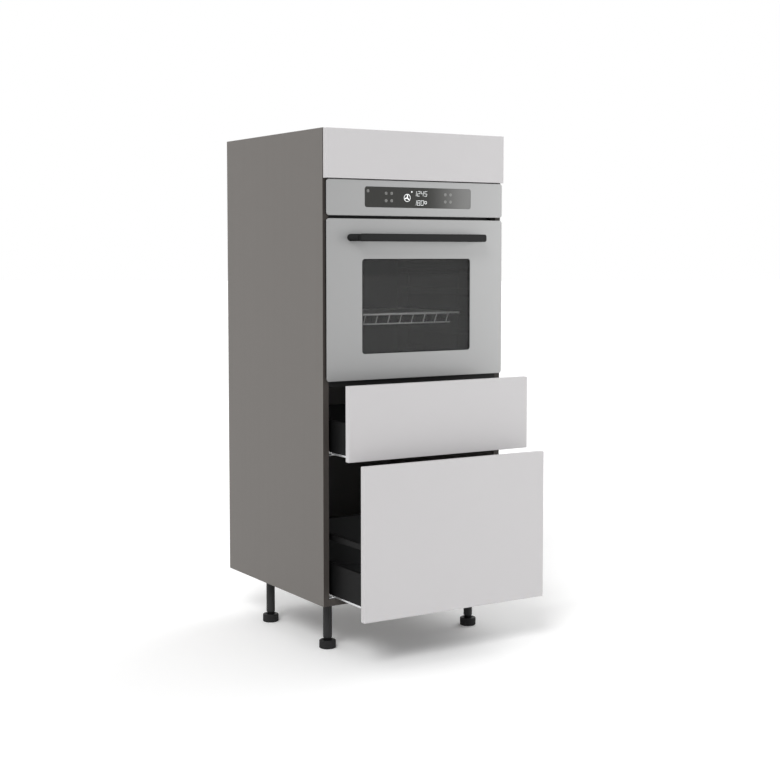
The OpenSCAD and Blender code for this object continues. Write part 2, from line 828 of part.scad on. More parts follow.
module fan_wheel() {
    hub_d = 26;
    disc_t = 1.5;
    root = hub_d / 2 + 14;
    color([0.7, 0.7, 0.7]) translate([0, fan_y, cavity_mid]) rotate([-90, 0, 0]) {
        cylinder(h = disc_t, d = fan_d);
        cylinder(h = fan_w, d = hub_d);
        cylinder(h = motor_y + 4 - fan_y, d = shaft_d);
        for (i = [0 : blade_count - 1])
            rotate([0, 0, i * 360 / blade_count])
                translate([root, -disc_t / 2, 0]) cube([fan_d / 2 - root - 1, disc_t, fan_w]);
    }
}

module fan_motor() {
    ear = [14, 20, 2];
    bore = 6;
    color([0.45, 0.45, 0.45]) translate([0, motor_y - fit, cavity_mid]) rotate([-90, 0, 0])
        difference() {
            union() {
                cylinder(h = motor_l, d = motor_d);
                translate([-motor_d / 2 - ear[0], -ear[1] / 2, 0]) cube([motor_d + 2 * ear[0], ear[1], ear[2]]);
            }
            translate([0, 0, -1]) cylinder(h = bore + 1, d = shaft_d + 2 * fit);
        }
}

module mains_terminal() {
    w = 70;
    h = 50;
    t = 24;
    inlet = [11, 13]; // diameter and depth
    color([0.12, 0.12, 0.12]) translate([body_w / 2 - terminal_at[0], 0, body_z[1] - terminal_at[1]]) difference() {
        slab([-w / 2, w / 2], [body_y, body_y + t], [-h / 2, h / 2]);
        translate([0, body_y + t / 2, -h / 2 - 1]) cylinder(h = inlet[1] + 1, d = inlet[0]);
    }
}

module door_panel() {
    color([0.7, 0.7, 0.7]) difference() {
        front_sheet(door_z);
        standing_plate(window_w, window_z, [face_y - 1, face_y + skin_t + 1], window_r);
    }
}

module door_window() {
    color([0.2, 0.2, 0.2])
        standing_plate(window_w + 2 * glass_lap, [window_z[0] - glass_lap, window_z[1] + glass_lap],
                       [frame_y[0], frame_y[0] + glass_t], window_r);
}

module hinge_notches(y) {
    both_sides() slab([hinge_x - hinge_t / 2 - 1, hinge_x + hinge_t * 1.5 + 1], y, [hinge_z - 20, notch_z]);
}

module door_frame() {
    lap = glass_lap + fit;
    edge = 4;
    color([0.06, 0.06, 0.06]) difference() {
        standing_plate(oven_w - 2 * frame_rim, [hinge_z, door_z[1] - frame_rim], frame_y, face_r - frame_rim);
        standing_plate(window_w + 2 * edge, [window_z[0] - edge, window_z[1] + edge],
                       [frame_y[0] - 1, frame_y[1] + 1], window_r + edge);
        standing_plate(window_w + 2 * lap, [window_z[0] - lap, window_z[1] + lap],
                       [frame_y[0] - 1, frame_y[0] + glass_t + fit], window_r);
        hinge_notches([frame_y[0] - 1, frame_y[1] + 1]);
    }
}

module door_inner_frame() {
    mid = (window_z[0] + window_z[1]) / 2;
    color([0.35, 0.35, 0.35]) difference() {
        centred_slab(2 * inner_frame_x, [frame_y[1], glass_y - glass_t], inner_frame_z);
        standing_plate(inner_opening[0], [mid - inner_opening[1] / 2, mid + inner_opening[1] / 2],
                       [frame_y[1] - 1, glass_y], cavity_r);
    }
}

module door_inner_glass() {
    lip = 8;
    color([0.3, 0.32, 0.3])
        standing_plate(2 * (inner_frame_x - lip), [inner_frame_z[0] + lip, inner_frame_z[1] - lip],
                       [glass_y - glass_t, glass_y], 3);
}

// Moving halves of the hinges: a plate with an eye and the pin, fixed to the inner frame.
module hinge_arms() {
    x = hinge_x + hinge_t / 2 + 0.3;
    color([0.6, 0.6, 0.6]) both_sides() {
        slab([x, x + hinge_t - 0.5], [frame_y[0] + 1, frame_y[1]], [hinge_z, notch_z - 1]);
        translate([x, hinge_y, hinge_z]) rotate([0, 90, 0]) cylinder(h = hinge_t - 0.5, r = eye_r);
        translate([hinge_x - hinge_t / 2 - 0.5, hinge_y, hinge_z])
            rotate([0, 90, 0]) cylinder(h = hinge_t + 2, d = pin_d);
    }
}

module handle_bar() {
    color([0.15, 0.15, 0.15])
        translate([-handle_l / 2, handle_y + handle_t / 2, handle_z])
            rotate([90, 0, 90]) linear_extrude(handle_l) rounded_rect(handle_t, handle_h, handle_r);
}

// Round posts that run outwards from the bar's rear face to the door.
module handle_posts() {
    d = handle_h - 1;
    x = handle_l / 2 - d / 2;
    seat = handle_y + handle_t;
    slope = post_flare / (face_y - seat);
    color([0.15, 0.15, 0.15]) both_sides() intersection() {
        rod([x - 10 * slope, seat - 10, handle_z], [x + post_flare + 10 * slope, face_y + 10, handle_z], d);
        slab([0, unit_w], [seat, face_y], [handle_z - d, handle_z + d]);
    }
}

module wire_rack() {
    lip_y = rack_y[0] + lip_back;
    lip_z = rack_z - lip_drop;
    span = rung_pitch * (rung_count - 1) / 2;
    color([0.75, 0.75, 0.75]) {
        for (y = rack_y) rod([-rack_x, y, rack_z], [rack_x, y, rack_z], frame_wire);
        for (x = [-rack_x, rack_x]) {
            rod([x, rack_y[0], rack_z], [x, rack_y[1], rack_z], frame_wire);
            for (y = rack_y) translate([x, y, rack_z]) sphere(d = frame_wire);
        }
        rod([-span - 14, lip_y, lip_z], [span + 14, lip_y, lip_z], thin_wire + 1);
        for (i = [0 : rung_count - 1]) {
            x = -span + i * rung_pitch;
            rod([x, rack_y[0], rack_z], [x, rack_y[1], rack_z], thin_wire);
            rod([x, rack_y[0], rack_z], [x, lip_y, lip_z], thin_wire);
        }
    }
}

left_side_panel();
right_side_panel();
bottom_panel();
top_panel();
oven_shelf();
front_rail();
back_panels();
filler_panel();
filler_brackets();
leg_sockets();
leg_tubes();
carcass_dowels();
cabinet_rails(top_runner_z);  // top_runner_rails
cabinet_rails(deep_runner_z);  // deep_runner_rails
runner_screws();
foot(-leg_x, leg_y[0]);  // foot_front_left
foot(leg_x, leg_y[0]);  // foot_front_right
foot(-leg_x, leg_y[1]);  // foot_rear_left
foot(leg_x, leg_y[1]);  // foot_rear_right
drawer_front(top_z, top_open);  // top_drawer_front
drawer_sides(top_side_z, top_open);  // top_drawer_sides
drawer_base(top_side_z, top_open);  // top_drawer_base
drawer_back(top_side_z, top_open, top_side_z + side_h + top_back_rise, 0);  // top_drawer_back
drawer_brackets(top_side_z, top_open);  // top_drawer_brackets
drawer_rails(top_runner_z, top_open);  // top_drawer_rails
middle_rails(top_runner_z, top_open);  // top_middle_rails
drawer_front(deep_z, deep_open);  // deep_drawer_front
drawer_sides(deep_side_z, deep_open);  // deep_drawer_sides
drawer_base(deep_side_z, deep_open);  // deep_drawer_base
drawer_back(deep_side_z, deep_open, gallery_z[1], gallery_h + 4);  // deep_drawer_back
drawer_brackets(deep_side_z, deep_open);  // deep_drawer_brackets
drawer_rails(deep_runner_z, deep_open);  // deep_drawer_rails
middle_rails(deep_runner_z, deep_open);  // deep_middle_rails
gallery_rails();
oven_casing();
oven_rear_panel();
oven_front_frame();
cavity_liner();
cavity_insulation();
door_seal();
hinge_receivers();
control_panel();
control_housing();
display_glass();
rack_ladders();
grill_element();
oven_lamp();
fan_cover();
fan_wheel();
fan_motor();
mains_terminal();
door_panel();
door_window();
door_frame();
door_inner_frame();
door_inner_glass();
hinge_arms();
handle_bar();
handle_posts();
wire_rack();
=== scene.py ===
import math

import bmesh
import bpy
from mathutils import Matrix, Vector


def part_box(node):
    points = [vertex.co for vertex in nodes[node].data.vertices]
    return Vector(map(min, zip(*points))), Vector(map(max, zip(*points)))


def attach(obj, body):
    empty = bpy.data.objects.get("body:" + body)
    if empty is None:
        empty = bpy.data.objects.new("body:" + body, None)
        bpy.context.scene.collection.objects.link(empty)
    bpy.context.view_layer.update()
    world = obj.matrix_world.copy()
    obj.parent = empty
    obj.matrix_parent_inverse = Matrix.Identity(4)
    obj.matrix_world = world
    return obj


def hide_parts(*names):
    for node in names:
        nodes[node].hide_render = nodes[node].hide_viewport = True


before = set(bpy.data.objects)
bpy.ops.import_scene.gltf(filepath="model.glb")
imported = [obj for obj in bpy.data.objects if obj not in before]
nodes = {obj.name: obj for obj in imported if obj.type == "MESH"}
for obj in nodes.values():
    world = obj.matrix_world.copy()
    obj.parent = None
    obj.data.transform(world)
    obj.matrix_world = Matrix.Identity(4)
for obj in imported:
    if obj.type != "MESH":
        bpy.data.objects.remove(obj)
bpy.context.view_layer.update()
print("frame loaded:", len(nodes), "nodes")

tiny = 0.000001                     # closer than this counts as the same place
sharpAngle = math.radians(50)       # two faces that turn more than this meet in an edge
bothSides = (-1, 1)


def addToScene(name, data):
    made = bpy.data.objects.new(name, data)
    bpy.context.scene.collection.objects.link(made)
    return made


# The camera, as the photograph was framed

cameraSettings = {
    "place": (-2.23899, -3.76661, 1.12178),
    "turn": 31.8859,      # degrees from +Y towards +X
    "tilt": -3.8427,      # degrees above the horizon
    "lens": 66.6963,
    "sensor": 36,
    "shift": -0.05,
    "near": 0.05,
    "far": 60,
}


def addCamera(settings):
    data = bpy.data.cameras.new("camera")
    data.sensor_width = settings["sensor"]
    data.lens = settings["lens"]
    data.shift_y = settings["shift"]
    data.clip_start = settings["near"]
    data.clip_end = settings["far"]
    camera = addToScene("camera", data)
    camera.location = settings["place"]
    camera.rotation_euler = (math.radians(90 + settings["tilt"]), 0, -math.radians(settings["turn"]))
    bpy.context.scene.camera = camera


addCamera(cameraSettings)
print("camera set")


# Steps that several materials share

noiseRange = (0.3, 0.7)       # where most values of a noise lie
fullRange = (0, 1)


def startMaterial(name):
    material = bpy.data.materials.new(name)
    material.use_nodes = True
    tree = material.node_tree
    tree.nodes.clear()
    output = tree.nodes.new("ShaderNodeOutputMaterial")
    shader = tree.nodes.new("ShaderNodeBsdfPrincipled")
    tree.links.new(shader.outputs["BSDF"], output.inputs["Surface"])
    return material, tree, shader


def objectPoints(tree, stretch=(1, 1, 1)):
    where = tree.nodes.new("ShaderNodeTexCoord")
    mapping = tree.nodes.new("ShaderNodeMapping")
    mapping.inputs["Scale"].default_value = stretch
    tree.links.new(where.outputs["Object"], mapping.inputs["Vector"])
    return mapping.outputs["Vector"]


def addNoise(tree, points, scale=1.0, detail=2.0, roughness=0.5):
    noise = tree.nodes.new("ShaderNodeTexNoise")
    noise.inputs["Scale"].default_value = scale
    noise.inputs["Detail"].default_value = detail
    noise.inputs["Roughness"].default_value = roughness
    tree.links.new(points, noise.inputs["Vector"])
    return noise.outputs["Fac"]


def spread(tree, value, low, high, span=noiseRange):
    remap = tree.nodes.new("ShaderNodeMapRange")
    remap.inputs["From Min"].default_value = span[0]
    remap.inputs["From Max"].default_value = span[1]
    remap.inputs["To Min"].default_value = low
    remap.inputs["To Max"].default_value = high
    tree.links.new(value, remap.inputs["Value"])
    return remap.outputs["Result"]


def tint(tree, shader, value, first, second, span=noiseRange):
    ramp = tree.nodes.new("ShaderNodeValToRGB")
    for stop, place, colour in zip(ramp.color_ramp.elements, span, (first, second)):
        stop.position = place
        stop.color = (*colour, 1)
    tree.links.new(value, ramp.inputs["Fac"])
    tree.links.new(ramp.outputs["Color"], shader.inputs["Base Color"])


def shade(colour, factor):
    return tuple(min(1.0, c * factor) for c in colour)


# The colour itself, a little darker and lighter from place to place.
def mottle(tree, shader, value, colour, settings):
    contrast = settings["contrast"]
    tint(tree, shader, value, shade(colour, 1 - contrast), shade(colour, 1 + contrast))


def roughen(tree, shader, value, settings, span=noiseRange):
    rough = settings["rough"]
    vary = settings["roughSpread"]
    tree.links.new(spread(tree, value, rough - vary, rough + vary, span), shader.inputs["Roughness"])


def addBump(tree, shader, height, depth):
    bump = tree.nodes.new("ShaderNodeBump")
    bump.inputs["Distance"].default_value = depth
    tree.links.new(height, bump.inputs["Height"])
    tree.links.new(bump.outputs["Normal"], shader.inputs["Normal"])


# A board's foil: long faint bands along its height and a fine pore.
def foilFinish(name, colour, settings):
    material, tree, shader = startMaterial(name)
    bands = addNoise(tree, objectPoints(tree, settings["bands"]), detail=3.0)
    pores = addNoise(tree, objectPoints(tree, settings["pores"]))
    mottle(tree, shader, bands, colour, settings)
    roughen(tree, shader, pores, settings)
    shader.inputs["Specular IOR Level"].default_value = settings["gloss"]
    addBump(tree, shader, pores, settings["depth"])
    return material


# Sprayed lacquer, powder coat or moulded plastic: an even colour with a soft ripple.
def sprayedFinish(name, colour, settings):
    material, tree, shader = startMaterial(name)
    points = objectPoints(tree)
    ripple = addNoise(tree, points, settings["ripple"])
    mottle(tree, shader, addNoise(tree, points, settings["cloud"]), colour, settings)
    roughen(tree, shader, ripple, settings)
    shader.inputs["Specular IOR Level"].default_value = settings["gloss"]
    addBump(tree, shader, ripple, settings["depth"])
    return material


# Sheet metal or wire with a fine brushed or drawn line.
def metalFinish(name, colour, settings):
    material, tree, shader = startMaterial(name)
    line = addNoise(tree, objectPoints(tree, settings["line"]), detail=3.0, roughness=0.6)
    mottle(tree, shader, addNoise(tree, objectPoints(tree), settings["cloud"]), colour, settings)
    roughen(tree, shader, line, settings)
    shader.inputs["Metallic"].default_value = settings["metal"]
    addBump(tree, shader, line, settings["depth"])
    return material


# Zinc coat: large soft crystals.
def zincFinish(name, colour, settings):
    material, tree, shader = startMaterial(name)
    cells = tree.nodes.new("ShaderNodeTexVoronoi")
    cells.inputs["Scale"].default_value = settings["crystal"]
    tree.links.new(objectPoints(tree), cells.inputs["Vector"])
    chance = tree.nodes.new("ShaderNodeSeparateColor")
    tree.links.new(cells.outputs["Color"], chance.inputs["Color"])
    mottle(tree, shader, chance.outputs["Red"], colour, settings)
    roughen(tree, shader, chance.outputs["Green"], settings, fullRange)
    shader.inputs["Metallic"].default_value = 1.0
    return material


# Fired enamel: near black, with small faint flecks and a slow wave.
def enamelFinish(name, colour, settings):
    material, tree, shader = startMaterial(name)
    fleck = addNoise(tree, objectPoints(tree), settings["fleck"], detail=1.0)
    wave = addNoise(tree, objectPoints(tree), settings["wave"])
    tint(tree, shader, fleck, colour, settings["fleckColour"], settings["fleckEdge"])
    roughen(tree, shader, wave, settings)
    shader.inputs["Specular IOR Level"].default_value = settings["gloss"]
    addBump(tree, shader, wave, settings["depth"])
    return material


# Glass that lets the inside show: its own tint, a clear gloss and a trace of smear.
def glassFinish(name, colour, settings):
    material, tree, shader = startMaterial(name)
    smear = addNoise(tree, objectPoints(tree, settings["stretch"]), settings["smear"], detail=3.0)
    mottle(tree, shader, smear, colour, settings)
    roughen(tree, shader, smear, settings)
    shader.inputs["IOR"].default_value = settings["bend"]
    shader.inputs["Alpha"].default_value = settings["cover"]
    return material


# Wool: a pale yellow tangle, darker where its bump sinks and lighter where it rises, a painted shade and
# light on the tangle.
def woolFinish(name, colour, settings):
    material, tree, shader = startMaterial(name)
    tangle = addNoise(tree, objectPoints(tree), settings["tangle"], detail=6.0, roughness=0.7)
    tint(tree, shader, tangle, shade(colour, settings["hollow"]), shade(colour, settings["crestLight"]))
    shader.inputs["Roughness"].default_value = settings["rough"]
    addBump(tree, shader, tangle, settings["depth"])
    return material


# The display: dark glass whose colour at the left end fades to a pale grey at the right end; the fade is a
# painted reflection of the bright surroundings.
def displayFinish(name, colour, settings):
    material, tree, shader = startMaterial(name)
    axes = tree.nodes.new("ShaderNodeSeparateXYZ")
    tree.links.new(objectPoints(tree), axes.inputs["Vector"])
    # painted reflection: the colour grows pale towards the right end
    reflectionFade = spread(tree, axes.outputs["X"], 0, 1, settings["reflectionFade"])
    reflectionFade.node.interpolation_type = "SMOOTHSTEP"
    tint(tree, shader, reflectionFade, colour, settings["pale"], fullRange)
    roughen(tree, shader, addNoise(tree, objectPoints(tree), settings["grain"], detail=1.0), settings)
    return material


# The display's figures, which light up.
def litFinish(name, colour, settings):
    material, tree, shader = startMaterial(name)
    grain = addNoise(tree, objectPoints(tree), settings["grain"], detail=1.0)
    tint(tree, shader, grain, shade(colour, settings["dimmest"]), colour)
    shader.inputs["Emission Color"].default_value = (*colour, 1)
    shader.inputs["Emission Strength"].default_value = settings["strength"]
    shader.inputs["Roughness"].default_value = settings["rough"]
    return material


# The unit's finishes

boardGrain = {"bands": (46, 46, 0.9), "pores": (900, 900, 240), "contrast": 0.01,
              "rough": 0.55, "roughSpread": 0.06, "gloss": 0.35, "depth": 0.00003}
plainBoard = {"bands": (3, 3, 3), "pores": (700, 700, 700), "contrast": 0.05,
              "rough": 0.6, "roughSpread": 0.06, "gloss": 0.15, "depth": 0.00003}
rawWood = {"bands": (160, 160, 8), "pores": (900, 900, 90), "contrast": 0.18,
           "rough": 0.7, "roughSpread": 0.06, "gloss": 0.35, "depth": 0.0001}
lacquer = {"ripple": 420, "cloud": 1.4, "contrast": 0.012,
           "rough": 0.42, "roughSpread": 0.04, "gloss": 0.32, "depth": 0.00001}
powder = {"ripple": 1400, "cloud": 5, "contrast": 0.05,
          "rough": 0.5, "roughSpread": 0.04, "depth": 0.00003}
moulded = {"ripple": 1100, "cloud": 8, "contrast": 0.06,
           "rough": 0.46, "roughSpread": 0.04, "gloss": 0.22, "depth": 0.00001}
drawn = {"line": (14, 900, 1500), "cloud": 1.6, "contrast": 0.01,
         "rough": 0.46, "roughSpread": 0.008, "metal": 0.45, "depth": 0.0000003}
wireDrawn = {"line": (500, 60, 500), "cloud": 30, "contrast": 0.04,
             "rough": 0.45, "roughSpread": 0.05, "metal": 0.3, "depth": 0.000003}
heated = {"line": (60, 60, 60), "cloud": 18, "contrast": 0.25,
          "rough": 0.42, "roughSpread": 0.05, "metal": 1.0, "depth": 0.00001}
zincCoat = {"crystal": 140, "contrast": 0.04, "rough": 0.36, "roughSpread": 0.06}
fired = {"fleck": 260, "fleckEdge": (0.66, 0.72), "fleckColour": (0.01, 0.01, 0.0105), "wave": 60,
         "rough": 0.42, "roughSpread": 0.05, "gloss": 0.25, "depth": 0.00006}
clear = {"stretch": (1, 1, 2.5), "smear": 9, "contrast": 0.06, "rough": 0.035, "roughSpread": 0.015}
# the wool's tangle: painted shade in its hollows and painted light on its crests
tangled = {"tangle": 90, "hollow": 0.6, "crestLight": 1.25, "rough": 0.95, "depth": 0.002}
# the display's painted reflection: where it fades along X and its pale grey
paintedReflectionFade = {"reflectionFade": (0.02, 0.185), "pale": (0.19, 0.19, 0.186), "grain": 900,
          "rough": 0.19, "roughSpread": 0.03}
litFilm = {"grain": 300, "dimmest": 0.94, "rough": 0.4}

recipes = {
    "carcassFoil": (foilFinish, (0.153, 0.1424, 0.132), boardGrain),
    # the edge bands: the carcass colour darkened to a painted shade from the fronts
    "edgeBand": (foilFinish, (0.062, 0.055, 0.05), {**boardGrain, "gloss": 0.15}),
    "darkFoil": (foilFinish, (0.012, 0.012, 0.012), plainBoard),
    "backFoil": (foilFinish, (0.19, 0.186, 0.178), {**plainBoard, "contrast": 0.03}),
    "drawerFoil": (foilFinish, (0.036, 0.037, 0.038), plainBoard),
    "dowelWood": (foilFinish, (0.55, 0.38, 0.22), rawWood),
    "frontLacquer": (sprayedFinish, (0.588, 0.576, 0.582), lacquer),
    "drawerPowder": (sprayedFinish, (0.0065, 0.0065, 0.0067), {**powder, "gloss": 0.08}),
    "legPlastic": (sprayedFinish, (0.024, 0.024, 0.0245), moulded),
    "footPlastic": (sprayedFinish, (0.02, 0.02, 0.0205), {**moulded, "gloss": 0.15}),
    "blackPlastic": (sprayedFinish, (0.005, 0.005, 0.005), {**moulded, "gloss": 0.1}),
    "handlePowder": (sprayedFinish, (0.014, 0.014, 0.014), {**powder, "gloss": 0.12}),
    "sealRubber": (sprayedFinish, (0.014, 0.014, 0.014), {**moulded, "rough": 0.7}),
    "faceSteel": (metalFinish, (0.302, 0.3035, 0.3035), drawn),
    "rackChrome": (metalFinish, (0.95, 0.95, 0.94), wireDrawn),
    "ladderSteel": (metalFinish, (0.03, 0.03, 0.03), heated),
    "heaterSteel": (metalFinish, (0.14, 0.13, 0.125), heated),
    "zinc": (zincFinish, (0.72, 0.73, 0.74), zincCoat),
    "enamel": (enamelFinish, (0.005, 0.005, 0.0053), fired),
    "coverEnamel": (sprayedFinish, (0.005, 0.005, 0.0053), {**moulded, "gloss": 0.1}),
    "fanSteel": (metalFinish, (0.02, 0.02, 0.02), {**heated, "rough": 0.6}),
    "windowGlass": (glassFinish, (0.006, 0.006, 0.005), {**clear, "bend": 2.0, "cover": 0.2}),
    "innerGlass": (glassFinish, (0.02, 0.022, 0.021), {**clear, "bend": 1.45, "cover": 0.1}),
    "lampGlass": (glassFinish, (0.5, 0.49, 0.45), {**clear, "rough": 0.135, "bend": 1.5, "cover": 0.6}),
    "wool": (woolFinish, (0.6, 0.52, 0.3), tangled),
    "displayGlass": (displayFinish, (0.011, 0.0113, 0.008), paintedReflectionFade),
    "paleNylon": (sprayedFinish, (0.75, 0.75, 0.74), {**moulded, "gloss": 0.4}),
    "litWhite": (litFinish, (0.9, 0.92, 0.92), {**litFilm, "strength": 0.45}),
    "litDim": (litFinish, (0.3, 0.3, 0.29), {**litFilm, "strength": 0.0}),
}
finishes = {name: make(name, colour, settings) for name, (make, colour, settings) in recipes.items()}

finishedNodes = {
    "carcassFoil": ["left_side_panel", "right_side_panel", "bottom_panel", "top_panel", "front_rail"],
    "darkFoil": ["oven_shelf"],
    "backFoil": ["back_panels"],
    "drawerFoil": ["top_drawer_base", "top_drawer_back", "deep_drawer_base", "deep_drawer_back"],
    "dowelWood": ["carcass_dowels"],
    "frontLacquer": ["filler_panel", "top_drawer_front", "deep_drawer_front"],
    "drawerPowder": ["top_drawer_sides", "deep_drawer_sides", "gallery_rails"],
    "legPlastic": ["leg_sockets", "leg_tubes"],
    "footPlastic": ["foot_front_left", "foot_front_right", "foot_rear_left", "foot_rear_right"],
    "blackPlastic": ["control_housing", "mains_terminal", "door_frame", "door_inner_frame"],
    "handlePowder": ["handle_bar", "handle_posts"],
    "sealRubber": ["door_seal"],
    "faceSteel": ["control_panel", "door_panel"],
    "rackChrome": ["wire_rack"],
    "ladderSteel": ["rack_ladders"],
    "heaterSteel": ["grill_element", "fan_motor"],
    "zinc": ["filler_brackets", "top_runner_rails", "deep_runner_rails", "runner_screws",
             "top_drawer_brackets", "top_drawer_rails", "top_middle_rails", "deep_drawer_brackets",
             "deep_drawer_rails", "deep_middle_rails", "oven_casing", "oven_rear_panel",
             "hinge_receivers", "hinge_arms"],
    "enamel": ["oven_front_frame", "cavity_liner"],
    "coverEnamel": ["fan_cover"],
    "fanSteel": ["fan_wheel"],
    "windowGlass": ["door_window"],
    "innerGlass": ["door_inner_glass"],
    "lampGlass": ["oven_lamp"],
    "wool": ["cavity_insulation"],
    "displayGlass": ["display_glass"],
}

for finish, names in finishedNodes.items():
    for name in names:
        nodes[name].data.materials.clear()
        nodes[name].data.materials.append(finishes[finish])
print("materials made:", len(finishes))


# Softened edges on the carried-over boards and sheets

edgeSettings = {
    "weld": 0.00001,      # joins the loose triangles of a node
    "segments": 2,
    "boardWidth": 0.0006,
    "boards": ["left_side_panel", "right_side_panel", "bottom_panel", "top_panel", "oven_shelf", "front_rail",
               "top_drawer_base", "deep_drawer_base"],
    "sheetWidth": 0.0004,
    "sheets": ["deep_drawer_back", "top_drawer_back", "gallery_rails", "top_drawer_sides",
               "deep_drawer_sides", "control_housing", "mains_terminal", "door_inner_frame"],
}


def softenEdges(names, width, settings):
    for name in names:
        weld = nodes[name].modifiers.new("weld", "WELD")
        weld.merge_threshold = settings["weld"]
        bevel = nodes[name].modifiers.new("edges", "BEVEL")
        bevel.width = width
        bevel.segments = settings["segments"]
        bevel.limit_method = "ANGLE"
        bevel.angle_limit = sharpAngle
        bevel.use_clamp_overlap = True


softenEdges(edgeSettings["boards"], edgeSettings["boardWidth"], edgeSettings)
softenEdges(edgeSettings["sheets"], edgeSettings["sheetWidth"], edgeSettings)
print("edges softened")


# Steps that several pieces share

def blockBetween(bm, low, high):
    made = bmesh.ops.create_cube(bm, size=1.0)["verts"]
    bmesh.ops.scale(bm, vec=[b - a for a, b in zip(low, high)], verts=made)
    bmesh.ops.translate(bm, vec=[(a + b) / 2 for a, b in zip(low, high)], verts=made)
    return made


def roundOff(bm, geom, radius, segments, affect="EDGES"):
    bmesh.ops.bevel(bm, geom=geom, offset=radius, offset_type="OFFSET", segments=segments, profile=0.5,
                    affect=affect, clamp_overlap=True, material=-1)


def onlyVerts(geom):
    return [g for g in geom if isinstance(g, bmesh.types.BMVert)]


# Gives flat faces a depth along +Y, and returns the corners of their new side.
def thicken(bm, faces, depth):
    moved = onlyVerts(bmesh.ops.extrude_face_region(bm, geom=faces)["geom"])
    bmesh.ops.translate(bm, vec=(0, depth, 0), verts=moved)
    return moved


# A turned shape round an upright axis, from its outline's radii and heights.
def turn(bm, x, y, outline, steps, closed=False):
    verts = [bm.verts.new((x + r, y, z)) for r, z in outline]
    pairs = list(zip(verts, verts[1:])) + ([(verts[-1], verts[0])] if closed else [])
    edges = [bm.edges.new(pair) for pair in pairs]
    bmesh.ops.spin(bm, geom=verts + edges, cent=(x, y, 0), axis=(0, 0, 1), angle=math.tau, steps=steps,
                   use_merge=True)
    bmesh.ops.remove_doubles(bm, verts=list(bm.verts), dist=tiny)


def finishPiece(bm, name, finish, body, replaced=(), smooth=True):
    bmesh.ops.recalc_face_normals(bm, faces=list(bm.faces))
    mesh = bpy.data.meshes.new(name)
    bm.to_mesh(mesh)
    bm.free()
    piece = addToScene(name, mesh)
    mesh.materials.append(finishes[finish])
    if smooth:
        mesh.shade_smooth()
        mesh.set_sharp_from_angle(angle=sharpAngle)
        even = piece.modifiers.new("even", "WEIGHTED_NORMAL")    # keeps flat faces flat beside rounded edges
        even.keep_sharp = True
    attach(piece, body)
    if replaced:
        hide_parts(*replaced)


# Edge bands on the front edges of the carcass boards, darker than the carcass as a painted shade from the
# fronts before them

bandSettings = {
    "thick": 0.0005,
    "radius": 0.0004,
    "segments": 2,
    "inset": 0.0002,
    "boards": ["left_side_panel", "right_side_panel", "bottom_panel", "top_panel", "front_rail"],
}

thick, inset = bandSettings["thick"], bandSettings["inset"]
bm = bmesh.new()
for node in bandSettings["boards"]:
    low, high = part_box(node)
    made = blockBetween(bm, (low.x + inset, low.y - thick, low.z + inset),
                        (high.x - inset, low.y, high.z - inset))
    front = [e for e in bm.edges if all(v in made and v.co.y < low.y - thick / 2 for v in e.verts)]
    roundOff(bm, front, bandSettings["radius"], bandSettings["segments"])
finishPiece(bm, "edgeBandsPaintedShade", "edgeBand", "housing")
print("edge bands made")


# The lacquered fronts

frontSettings = {
    "radius": 0.0009,
    "segments": 3,
    "fillerDrop": 0.0008,     # the joint over the oven is tight
    "pieces": {"filler_panel": ("fillerFront", "housing"), "top_drawer_front": ("topFront", "top_drawer"),
               "deep_drawer_front": ("deepFront", "deep_drawer")},
}

for node, (name, body) in frontSettings["pieces"].items():
    low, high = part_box(node)
    if node == "filler_panel":
        low.z -= frontSettings["fillerDrop"]
    bm = bmesh.new()
    blockBetween(bm, low, high)
    roundOff(bm, list(bm.edges), frontSettings["radius"], frontSettings["segments"])
    finishPiece(bm, name, "frontLacquer", body, [node])
print("fronts made")


# The oven's steel faces and the seal round the window

sheetSettings = {
    "corner": 0.009,
    "cornerSegments": 10,
    "edge": 0.0014,
    "edgeSegments": 3,
    "window": (-0.182, 0.8435, 0.182, 1.1075),      # left, bottom, right, top
    "windowCorner": 0.008,
    "sealWidth": 0.0022,
    "sealProud": 0.0006,
    "displayGap": 0.0003,
    "displayCorner": 0.0073,
}


# A node's front as left, bottom, right and top.
def frontOf(node):
    low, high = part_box(node)
    return low.x, low.z, high.x, high.z


def grow(front, by):
    left, bottom, right, top = front
    return left - by, bottom - by, right + by, top + by


def inside(point, front):
    left, bottom, right, top = front
    return left < point.x < right and bottom < point.z < top


# A sheet that faces -Y, with a hole in it. Both have rounded corners.
def addSheet(bm, rims, y, depth, segments):
    edges = []
    for (left, bottom, right, top), corner in rims:
        places = ((left, bottom), (right, bottom), (right, top), (left, top))
        verts = [bm.verts.new((x, y, z)) for x, z in places]
        bm.faces.new(verts)
        roundOff(bm, verts, corner, segments, "VERTICES")
        face = next(iter(bm.faces))
        edges += list(face.edges)
        bmesh.ops.delete(bm, geom=[face], context="FACES_ONLY")
    bmesh.ops.bridge_loops(bm, edges=edges)
    thicken(bm, list(bm.faces), depth)
    bmesh.ops.recalc_face_normals(bm, faces=list(bm.faces))


# The sharp edges of a sheet's front face.
def frontRim(bm, y):
    bm.normal_update()
    flat = [e for e in bm.edges if all(abs(v.co.y - y) < tiny for v in e.verts)]
    return [e for e in flat if e.calc_face_angle(0) > sharpAngle]


segments = sheetSettings["cornerSegments"]
window = sheetSettings["window"]
windowCorner = sheetSettings["windowCorner"]

low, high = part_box("door_panel")
rims = [(frontOf("door_panel"), sheetSettings["corner"]), (window, windowCorner)]
bm = bmesh.new()
addSheet(bm, rims, low.y, high.y - low.y, segments)
roundOff(bm, frontRim(bm, low.y), sheetSettings["edge"], sheetSettings["edgeSegments"])
finishPiece(bm, "doorSheet", "faceSteel", "oven_door", ["door_panel"])

